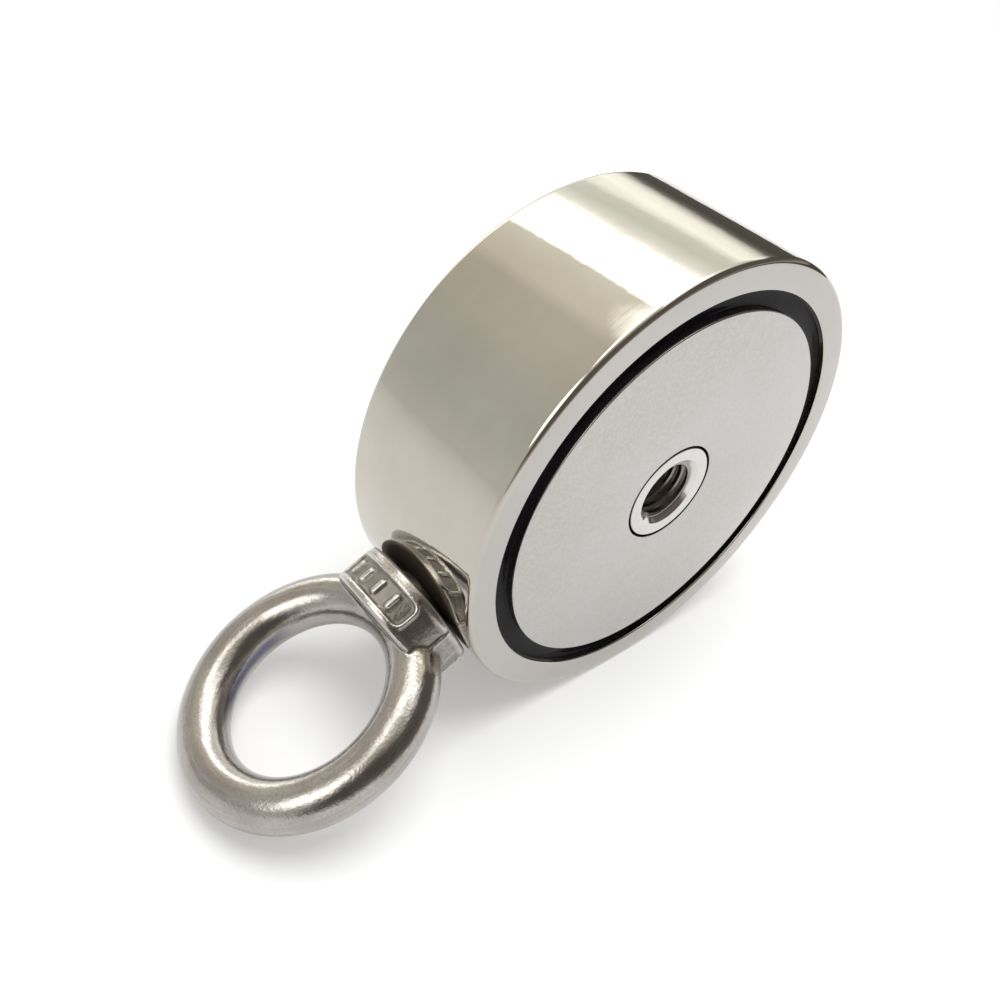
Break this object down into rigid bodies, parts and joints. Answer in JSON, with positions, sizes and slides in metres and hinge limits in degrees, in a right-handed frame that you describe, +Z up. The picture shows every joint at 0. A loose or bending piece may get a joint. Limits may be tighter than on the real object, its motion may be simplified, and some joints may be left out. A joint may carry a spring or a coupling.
{
  "type": "magnet fishing magnet",
  "caption": "Round double-faced pot magnet with a threaded bush in each face and a lifting eyebolt screwed into its side.",
  "frame": {"origin": "on the floor, under the middle of the box around the whole object", "axes": "+Z up; -Y out of the front magnet face, along the pot's axis; the eyebolt points towards -X and dips to the floor"},
  "size_m": [0.1102, 0.0408, 0.075],
  "materials": {
    "pot_nickel": "bright nickel plate on turned steel: mirror side, finely ground rim faces",
    "magnet_nickel": "satin nickel plate over sintered magnet, with a faint ground grain",
    "clear_adhesive": "cured amber adhesive bed, hidden",
    "black_epoxy": "glossy black potting epoxy with a hollow surface",
    "bush_nickel": "bright nickel-plated turned bush, darker oiled thread",
    "cast_stainless": "tumbled stainless forging, warm grey, softly bright on the crowns and dull in the hollows"
  },
  "bodies": {
    "pot": {"pot_body": "pot_nickel", "front_magnet": "magnet_nickel", "back_magnet": "magnet_nickel", "front_bond_layer": "clear_adhesive", "back_bond_layer": "clear_adhesive", "front_epoxy_ring": "black_epoxy", "back_epoxy_ring": "black_epoxy", "front_bush": "bush_nickel", "back_bush": "bush_nickel"},
    "eyebolt": {"eyebolt": "cast_stainless"}
  },
  "joints": [
    {"name": "eyebolt_turn", "type": "hinge", "parent": "pot", "child": "eyebolt", "pos_m": [0.01757, 0, 0.0375], "axis": [-0.9007, 0, -0.4345], "range_deg": [0, 180]}
  ]
}
